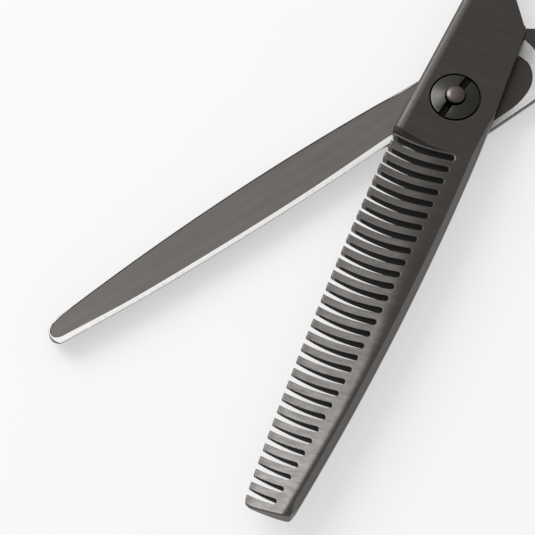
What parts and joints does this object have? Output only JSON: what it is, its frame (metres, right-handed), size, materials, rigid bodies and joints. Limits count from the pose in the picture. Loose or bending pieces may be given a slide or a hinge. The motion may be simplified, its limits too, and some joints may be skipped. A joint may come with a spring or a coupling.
{
  "type": "thinning shears",
  "caption": "Dark-coated hair thinning shears: a comb blade crosses a plain straight blade on a slotted tension nut, with finger rings, a finger rest and a silencer.",
  "frame": {"origin": "on the pivot axis, at the flat underside of the pivot stud's head", "axes": "+Z along the pivot axis, out through the comb half and the slotted nut; -X along the middle between the two blades towards their tips; +X towards the finger rings"},
  "size_m": [0.1528, 0.1166, 0.0082],
  "materials": {
    "comb_steel": "satin charcoal coating with fine brushing along the teeth",
    "straight_steel": "satin charcoal coating, bright ground land along the cutting edge and behind the pivot",
    "pivot_metal": "dark polished, turned",
    "bearing_plastic": "smooth, off-white",
    "spring_steel": "plain",
    "rubber": "matte black"
  },
  "bodies": {
    "straight_half": {"straight_blade": "straight_steel", "pivot_stud": "pivot_metal", "ride_washer": "bearing_plastic", "finger_insert": "rubber", "finger_rest": "comb_steel"},
    "comb_half": {"comb_blade": "comb_steel", "pivot_bushing": "bearing_plastic", "spring_washer": "spring_steel", "thumb_insert": "rubber", "silencer": "rubber"},
    "nut": {"tension_nut": "pivot_metal"}
  },
  "joints": [
    {"name": "pivot", "type": "hinge", "parent": "straight_half", "child": "comb_half", "pos_m": [0, 0, 0.0035], "axis": [0, 0, 1], "range_deg": [-34, 60]},
    {"name": "tension_turn", "type": "hinge", "parent": "straight_half", "child": "nut", "pos_m": [0, 0, 0.006], "axis": [0, 0, 1], "range_deg": [-120, 120]}
  ]
}
